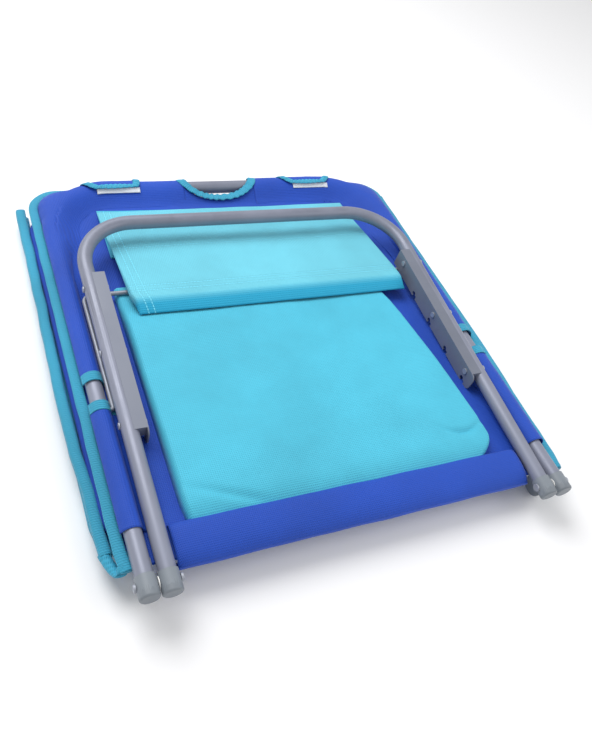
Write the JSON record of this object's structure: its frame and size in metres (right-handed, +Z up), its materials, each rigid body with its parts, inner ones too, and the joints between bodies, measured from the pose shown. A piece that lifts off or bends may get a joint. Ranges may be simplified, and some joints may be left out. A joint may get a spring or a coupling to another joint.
{
  "type": "folding beach lounger",
  "caption": "Folding beach chair stored flat: tube backrest with nested stand, ratchet racks, support wire, cloth back, storage bag and folded padded seat and leg sections",
  "frame": {"origin": "middle of the footprint on the floor, folded", "axes": "+X to the right across the chair, +Y from the hinge end to the carrying handle, +Z up, away from the floor"},
  "size_m": [0.598, 0.6395, 0.0875],
  "materials": {
    "silver_paint": "satin silver-grey powder paint",
    "grey_plastic": "matte moulded",
    "rack_grey": "satin grey",
    "bright_steel": "zinc plated",
    "white_nylon": "smooth",
    "white_hook_tape": "hook and loop tape",
    "light_blue_tape": "ribbed binding tape",
    "light_blue_cloth": "plain woven polyester",
    "blue_cloth": "plain woven polyester, coated"
  },
  "bodies": {
    "backrest": {"backrest_tube": "silver_paint", "backrest_cap_left": "grey_plastic", "backrest_cap_right": "grey_plastic", "foot_left": "grey_plastic", "foot_right": "grey_plastic", "pivot_screw_left": "bright_steel", "pivot_screw_right": "bright_steel", "pivot_nut_left": "bright_steel", "pivot_nut_right": "bright_steel", "pivot_washer_left": "white_nylon", "pivot_washer_right": "white_nylon", "sleeve_low_left": "blue_cloth", "sleeve_low_right": "blue_cloth", "sleeve_top_left": "blue_cloth", "sleeve_top_right": "blue_cloth", "tape_low_left": "light_blue_tape", "tape_low_right": "light_blue_tape", "tape_high_left": "light_blue_tape", "tape_high_right": "light_blue_tape", "back_panel": "blue_cloth", "front_pad": "blue_cloth", "mat_binding": "light_blue_tape", "handle_binding": "light_blue_tape", "pillow_tab_left": "blue_cloth", "pillow_tab_right": "blue_cloth", "hook_strip_left": "white_hook_tape", "hook_strip_right": "white_hook_tape", "hinge_flap": "blue_cloth", "bag_body": "light_blue_cloth", "bag_hem": "light_blue_cloth"},
    "stand": {"stand_tube": "silver_paint", "stand_cap_left": "grey_plastic", "stand_cap_right": "grey_plastic", "rack_left": "rack_grey", "rack_right": "rack_grey", "rack_rivets": "bright_steel"},
    "wire": {"support_wire": "bright_steel"},
    "lid": {"bag_lid": "light_blue_cloth"},
    "seat": {"seat_pad": "blue_cloth", "seat_binding": "light_blue_tape", "knee_fold": "blue_cloth"},
    "leg": {"leg_pad": "blue_cloth", "leg_binding": "light_blue_tape"}
  },
  "joints": [
    {"name": "stand_hinge", "type": "hinge", "parent": "backrest", "child": "stand", "pos_m": [0, -0.30478, 0.0445], "axis": [1, 0, 0], "range_deg": [0, 49]},
    {"name": "wire_hinge", "type": "hinge", "parent": "backrest", "child": "wire", "pos_m": [0, -0.08978, 0.0445], "axis": [1, 0, 0], "range_deg": [0, 107]},
    {"name": "lid_hinge", "type": "hinge", "parent": "backrest", "child": "lid", "pos_m": [0, 0.25522, 0.046], "axis": [-1, 0, 0], "range_deg": [0, 128]},
    {"name": "seat_hinge", "type": "hinge", "parent": "backrest", "child": "seat", "pos_m": [0, -0.28978, 0.0305], "axis": [-1, 0, 0], "range_deg": [0, 180]},
    {"name": "leg_hinge", "type": "hinge", "parent": "seat", "child": "leg", "pos_m": [0, 0.29522, 0.0142], "axis": [1, 0, 0], "range_deg": [0, 180]}
  ],
  "couplings": [
    {"joint": "wire_hinge", "follows": "stand_hinge", "ratio": 2.18},
    {"joint": "lid_hinge", "follows": "stand_hinge", "ratio": 2.6}
  ]
}
